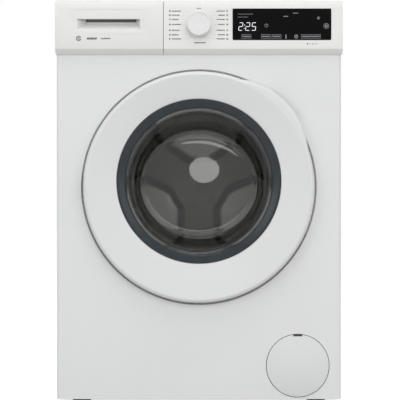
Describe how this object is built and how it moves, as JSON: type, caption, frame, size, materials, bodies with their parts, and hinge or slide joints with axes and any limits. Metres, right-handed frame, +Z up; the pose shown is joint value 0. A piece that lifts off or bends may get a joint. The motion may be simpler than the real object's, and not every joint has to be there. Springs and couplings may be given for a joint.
{
  "type": "front load washing machine",
  "caption": "Front load washing machine with a round glass door, detergent drawer, programme knob and sprung tub with a belt driven drum",
  "frame": {"origin": "middle of the bounding box on the floor plane", "axes": "+Z up, front towards -Y, +X to the right of someone facing the front"},
  "size_m": [0.6, 0.62, 0.845],
  "materials": {
    "side_panel_left": "satin",
    "side_panel_right": "satin",
    "rear_panel": "galvanised",
    "service_cover": "galvanised",
    "front_panel": "satin",
    "base_pan": "matte",
    "worktop": "satin",
    "spring_rail": "satin",
    "control_panel": "satin",
    "display_window": "gloss",
    "control_board": "matte",
    "dispenser_housing": "matte",
    "inlet_valve": "matte",
    "internal_hoses": "matte",
    "hinge_bracket": "satin",
    "door_lock": "matte",
    "gasket": "matte",
    "damper_cylinders": "matte",
    "pump_housing": "matte",
    "filter_recess": "matte",
    "foot_locknuts": "satin",
    "cabinet_screws": "satin",
    "mains_inlet": "matte",
    "door_front_frame": "satin",
    "door_trim_ring": "gloss",
    "door_inner_frame": "matte",
    "door_glass": "clear",
    "hinge_arm": "satin",
    "door_pins": "satin",
    "door_hook": "satin",
    "drawer_front": "satin",
    "drawer_tray": "matte",
    "siphon_cap": "matte",
    "control_knob": "satin",
    "filter_cover": "satin",
    "filter_cap": "matte",
    "tub_front": "matte",
    "tub_rear": "matte",
    "front_counterweights": "rough",
    "top_counterweight": "rough",
    "heater": "satin",
    "drum_bearings": "satin",
    "shaft_seal": "matte",
    "motor_housing": "cast",
    "drive_belt": "matte",
    "springs": "satin",
    "damper_rods": "satin",
    "sump_hose": "matte",
    "dispenser_bellows": "matte",
    "drum_shell": "brushed",
    "drum_back": "brushed",
    "drum_spider": "cast",
    "drum_lifters": "matte",
    "drum_pulley": "cast",
    "motor_rotor": "satin",
    "pump_impeller": "matte",
    "foot_front_left": "matte",
    "foot_front_right": "matte",
    "foot_rear_left": "matte",
    "foot_rear_right": "matte"
  },
  "bodies": {
    "cabinet": {"side_panel_left": "side_panel_left", "side_panel_right": "side_panel_right", "rear_panel": "rear_panel", "service_cover": "service_cover", "front_panel": "front_panel", "base_pan": "base_pan", "worktop": "worktop", "spring_rail": "spring_rail", "control_panel": "control_panel", "display_window": "display_window", "control_board": "control_board", "dispenser_housing": "dispenser_housing", "inlet_valve": "inlet_valve", "internal_hoses": "internal_hoses", "hinge_bracket": "hinge_bracket", "door_lock": "door_lock", "gasket": "gasket", "damper_cylinders": "damper_cylinders", "pump_housing": "pump_housing", "filter_recess": "filter_recess", "foot_locknuts": "foot_locknuts", "cabinet_screws": "cabinet_screws", "mains_inlet": "mains_inlet"},
    "door": {"door_front_frame": "door_front_frame", "door_trim_ring": "door_trim_ring", "door_inner_frame": "door_inner_frame", "door_glass": "door_glass", "hinge_arm": "hinge_arm", "door_pins": "door_pins"},
    "hook": {"door_hook": "door_hook"},
    "drawer": {"drawer_front": "drawer_front", "drawer_tray": "drawer_tray", "siphon_cap": "siphon_cap"},
    "knob": {"control_knob": "control_knob"},
    "filter_flap": {"filter_cover": "filter_cover"},
    "filter_plug": {"filter_cap": "filter_cap"},
    "tub": {"tub_front": "tub_front", "tub_rear": "tub_rear", "front_counterweights": "front_counterweights", "top_counterweight": "top_counterweight", "heater": "heater", "drum_bearings": "drum_bearings", "shaft_seal": "shaft_seal", "motor_housing": "motor_housing", "drive_belt": "drive_belt", "springs": "springs", "damper_rods": "damper_rods", "sump_hose": "sump_hose", "dispenser_bellows": "dispenser_bellows"},
    "drum": {"drum_shell": "drum_shell", "drum_back": "drum_back", "drum_spider": "drum_spider", "drum_lifters": "drum_lifters", "drum_pulley": "drum_pulley"},
    "rotor": {"motor_rotor": "motor_rotor"},
    "impeller": {"pump_impeller": "pump_impeller"},
    "foot_fl": {"foot_front_left": "foot_front_left"},
    "foot_fr": {"foot_front_right": "foot_front_right"},
    "foot_rl": {"foot_rear_left": "foot_rear_left"},
    "foot_rr": {"foot_rear_right": "foot_rear_right"}
  },
  "joints": [
    {"name": "door_hinge", "type": "hinge", "parent": "cabinet", "child": "door", "pos_m": [-0.236, -0.29, 0.454], "axis": [0, 0, -1], "range_deg": [0, 135]},
    {"name": "hook_pivot", "type": "hinge", "parent": "door", "child": "hook", "pos_m": [0.205, -0.277, 0.454], "axis": [0, 0, -1], "range_deg": [0, 8], "stiffness_Nm_per_rad": 0.5, "springref_deg": -5.73},
    {"name": "drawer_slide", "type": "slide", "parent": "cabinet", "child": "drawer", "axis": [0, -1, 0], "range_m": [0, 0.2]},
    {"name": "knob_turn", "type": "hinge", "parent": "cabinet", "child": "knob", "pos_m": [0, -0.298, 0.793], "axis": [0, 1, 0], "continuous": true},
    {"name": "filter_cover_hinge", "type": "hinge", "parent": "cabinet", "child": "filter_flap", "pos_m": [0.207, -0.2782, 0.02], "axis": [1, 0, 0], "range_deg": [0, 80]},
    {"name": "filter_plug_turn", "type": "hinge", "parent": "cabinet", "child": "filter_plug", "pos_m": [0.207, -0.266, 0.08], "axis": [0, 1, 0], "range_deg": [0, 90]},
    {"name": "tub_bounce", "type": "slide", "parent": "cabinet", "child": "tub", "axis": [0, 0, 1], "range_m": [-0.01, 0.01], "stiffness_N_per_m": 20000, "springref_m": 0.01806, "deforming": ["springs", "gasket", "sump_hose", "dispenser_bellows"]},
    {"name": "drum_spin", "type": "hinge", "parent": "tub", "child": "drum", "pos_m": [0, 0.122, 0.46], "axis": [0, 1, 0], "continuous": true},
    {"name": "motor_spin", "type": "hinge", "parent": "tub", "child": "rotor", "pos_m": [0, 0.122, 0.1], "axis": [0, 1, 0], "continuous": true},
    {"name": "impeller_spin", "type": "hinge", "parent": "cabinet", "child": "impeller", "pos_m": [0.207, -0.158, 0.08], "axis": [0, 1, 0], "continuous": true},
    {"name": "foot_fl_height", "type": "slide", "parent": "cabinet", "child": "foot_fl", "axis": [0, 0, 1], "range_m": [-0.012, 0]},
    {"name": "foot_fr_height", "type": "slide", "parent": "cabinet", "child": "foot_fr", "axis": [0, 0, 1], "range_m": [-0.012, 0]},
    {"name": "foot_rl_height", "type": "slide", "parent": "cabinet", "child": "foot_rl", "axis": [0, 0, 1], "range_m": [-0.012, 0]},
    {"name": "foot_rr_height", "type": "slide", "parent": "cabinet", "child": "foot_rr", "axis": [0, 0, 1], "range_m": [-0.012, 0]}
  ],
  "couplings": [
    {"joint": "motor_spin", "follows": "drum_spin", "ratio": 13.636}
  ]
}
